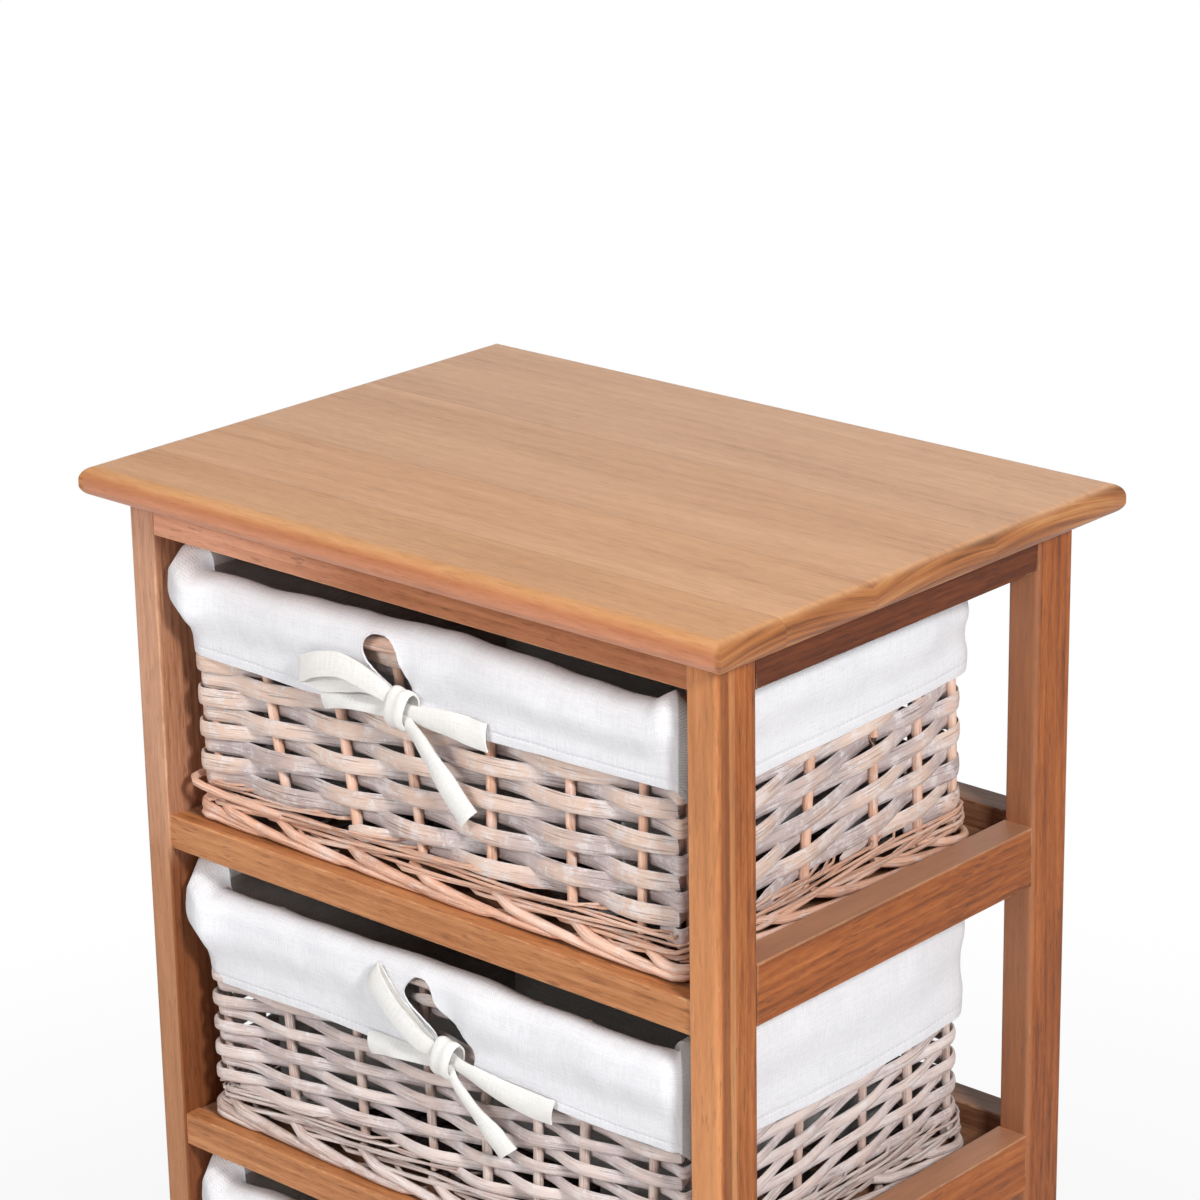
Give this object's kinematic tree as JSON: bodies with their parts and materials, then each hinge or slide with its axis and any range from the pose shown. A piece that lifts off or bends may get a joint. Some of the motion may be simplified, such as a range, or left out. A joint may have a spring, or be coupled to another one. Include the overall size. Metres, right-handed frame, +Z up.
{
  "type": "basket drawer unit",
  "caption": "Free-standing wooden frame with shelves that hold cotton-lined wicker baskets as pull-out drawers, under an overhanging board top with rounded edges.",
  "frame": {"origin": "centre of the footprint on the floor", "axes": "+Z up, +X to the right seen from the front, the front faces -Y"},
  "size_m": [0.4, 0.29, 0.56],
  "materials": {
    "top_wood": "stained and satin lacquered",
    "frame_wood": "stained and satin lacquered",
    "shelf_wood": "stained",
    "dowel_wood": "raw",
    "willow": "whitewashed willow",
    "liner_cotton": "plain weave",
    "tie_cotton": "plain weave",
    "screw_steel": "zinc plated",
    "glide_plastic": "moulded"
  },
  "bodies": {
    "frame": {"top_panel": "top_wood", "post_front_left": "frame_wood", "post_front_right": "frame_wood", "post_rear_left": "frame_wood", "post_rear_right": "frame_wood", "apron_front": "frame_wood", "apron_rear": "frame_wood", "apron_left": "frame_wood", "apron_right": "frame_wood", "shelf_1_front_rail": "frame_wood", "shelf_1_rear_rail": "frame_wood", "shelf_1_left_rail": "frame_wood", "shelf_1_right_rail": "frame_wood", "shelf_1_panel": "shelf_wood", "shelf_2_front_rail": "frame_wood", "shelf_2_rear_rail": "frame_wood", "shelf_2_left_rail": "frame_wood", "shelf_2_right_rail": "frame_wood", "shelf_2_panel": "shelf_wood", "shelf_3_front_rail": "frame_wood", "shelf_3_rear_rail": "frame_wood", "shelf_3_left_rail": "frame_wood", "shelf_3_right_rail": "frame_wood", "shelf_3_panel": "shelf_wood", "front_rail_dowels": "dowel_wood", "rear_rail_dowels": "dowel_wood", "side_rail_dowels": "dowel_wood", "top_screws": "screw_steel", "foot_glides": "glide_plastic"},
    "basket_1": {"basket_1_foot": "willow", "basket_1_wale": "willow", "basket_1_wall": "willow", "basket_1_rim": "willow", "basket_1_base": "willow", "liner_1": "liner_cotton", "tie_1": "tie_cotton"},
    "basket_2": {"basket_2_foot": "willow", "basket_2_wale": "willow", "basket_2_wall": "willow", "basket_2_rim": "willow", "basket_2_base": "willow", "liner_2": "liner_cotton", "tie_2": "tie_cotton"},
    "basket_3": {"basket_3_foot": "willow", "basket_3_wale": "willow", "basket_3_wall": "willow", "basket_3_rim": "willow", "basket_3_base": "willow", "liner_3": "liner_cotton", "tie_3": "tie_cotton"}
  },
  "joints": [
    {"name": "basket_1_slide", "type": "slide", "parent": "frame", "child": "basket_1", "axis": [0, -1, 0], "range_m": [0, 0.24]},
    {"name": "basket_2_slide", "type": "slide", "parent": "frame", "child": "basket_2", "axis": [0, -1, 0], "range_m": [0, 0.24]},
    {"name": "basket_3_slide", "type": "slide", "parent": "frame", "child": "basket_3", "axis": [0, -1, 0], "range_m": [0, 0.24]}
  ]
}
